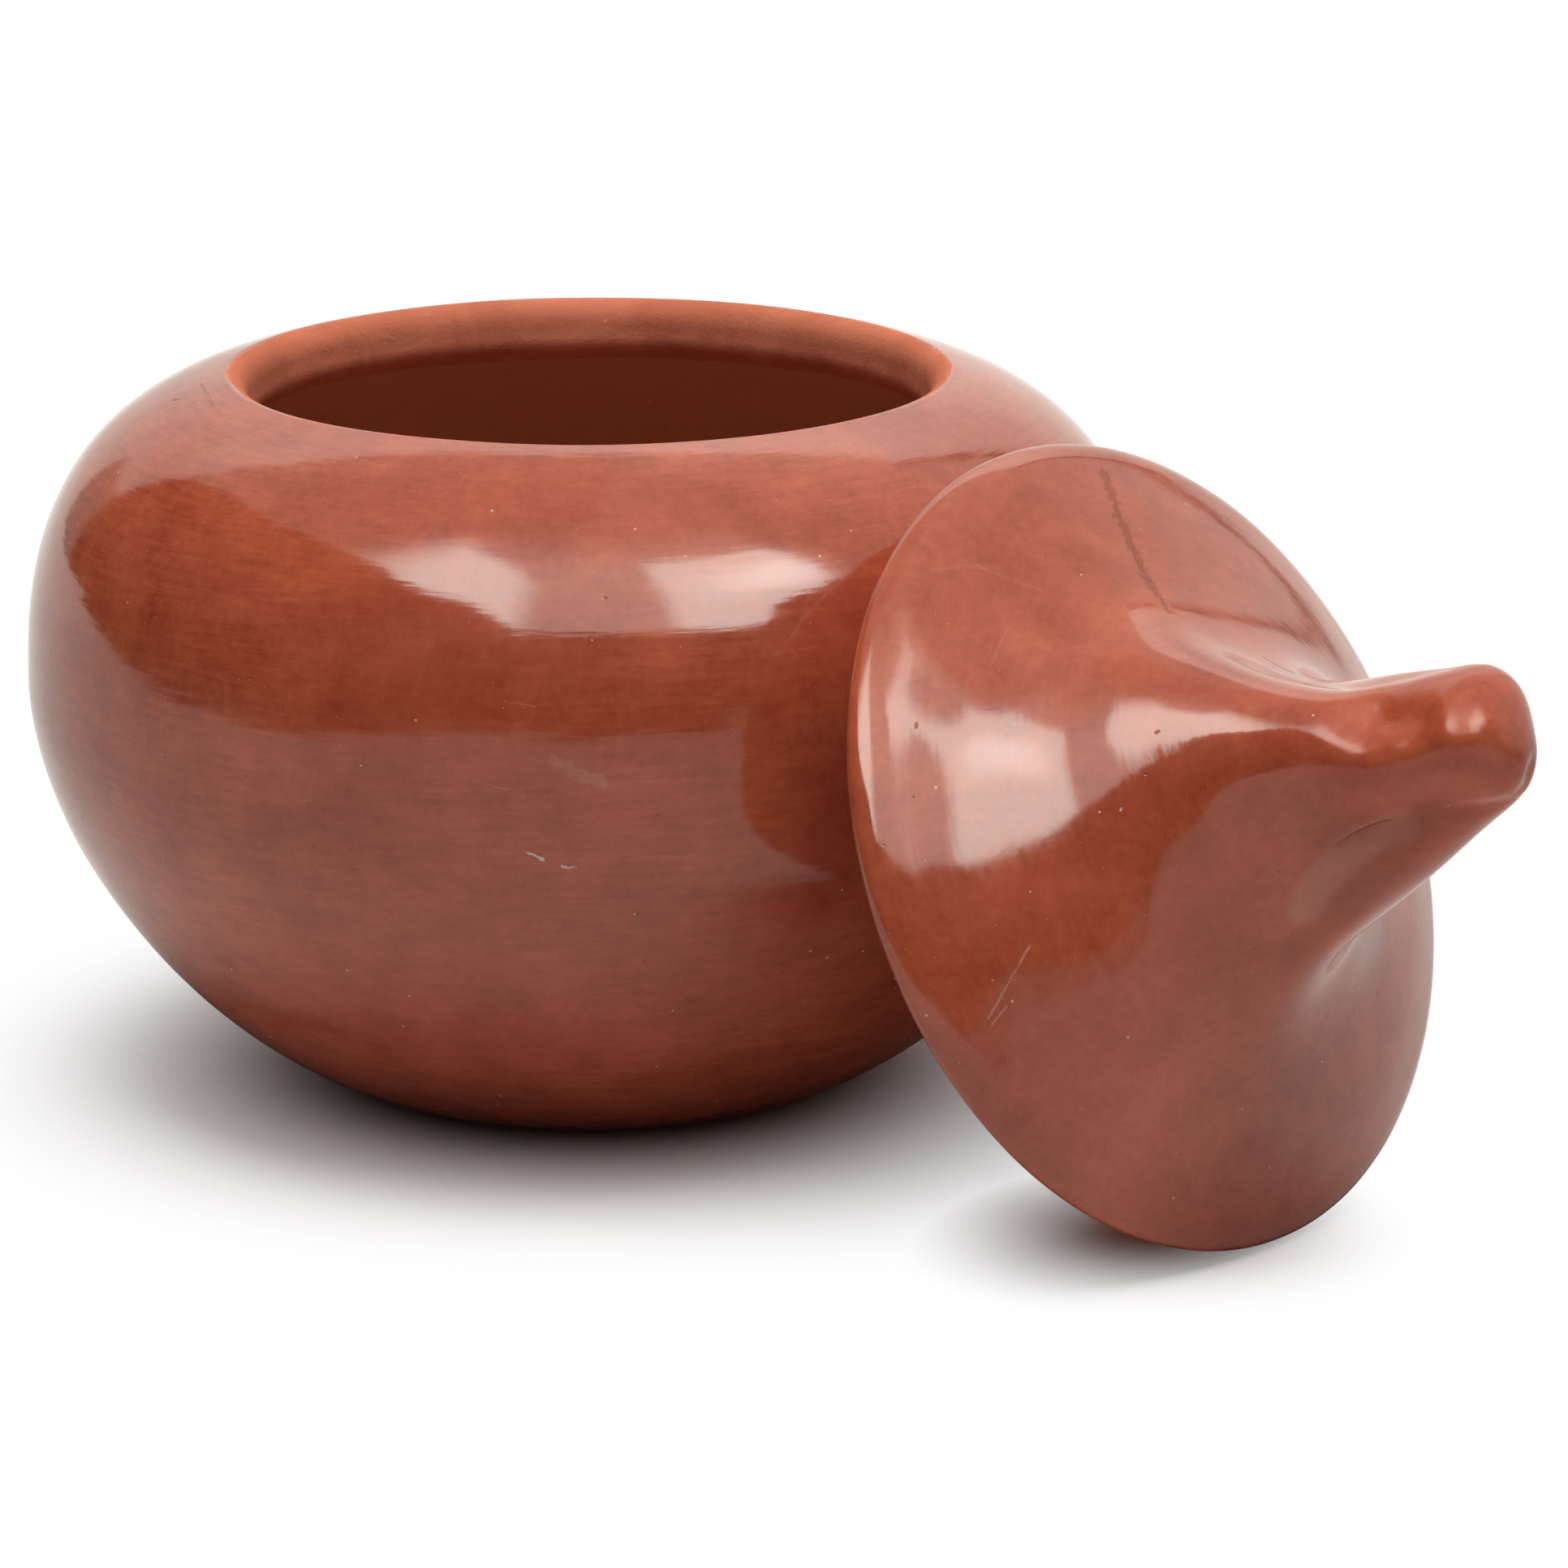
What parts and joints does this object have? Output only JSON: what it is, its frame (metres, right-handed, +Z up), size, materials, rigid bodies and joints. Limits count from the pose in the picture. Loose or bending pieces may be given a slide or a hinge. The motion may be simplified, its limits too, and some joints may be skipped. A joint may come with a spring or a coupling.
{
  "type": "lidded jar",
  "caption": "Squat round burnished clay jar with a wide open mouth, and its domed lid with a twisted knob leaning against the belly.",
  "frame": {"origin": "centre of the jar's flat base, on the surface that the jar and the leaning lid stand on", "axes": "+Z up along the jar's turning axis; the lid leans against the jar on the side between +X and -Y, which is the right-hand front"},
  "size_m": [0.2101, 0.1952, 0.1052],
  "materials": {
    "jar_clay": "stone burnished red slip outside, bare smoothed clay inside",
    "lid_clay": "stone burnished red slip outside, bare smoothed clay under it"
  },
  "bodies": {
    "jar": {"jar_body": "jar_clay"},
    "lid": {"lid": "lid_clay"}
  },
  "joints": [
    {"name": "lid_lift", "type": "slide", "parent": "jar", "child": "lid", "axis": [0, 0, 1], "range_m": [0, 0.12]}
  ]
}
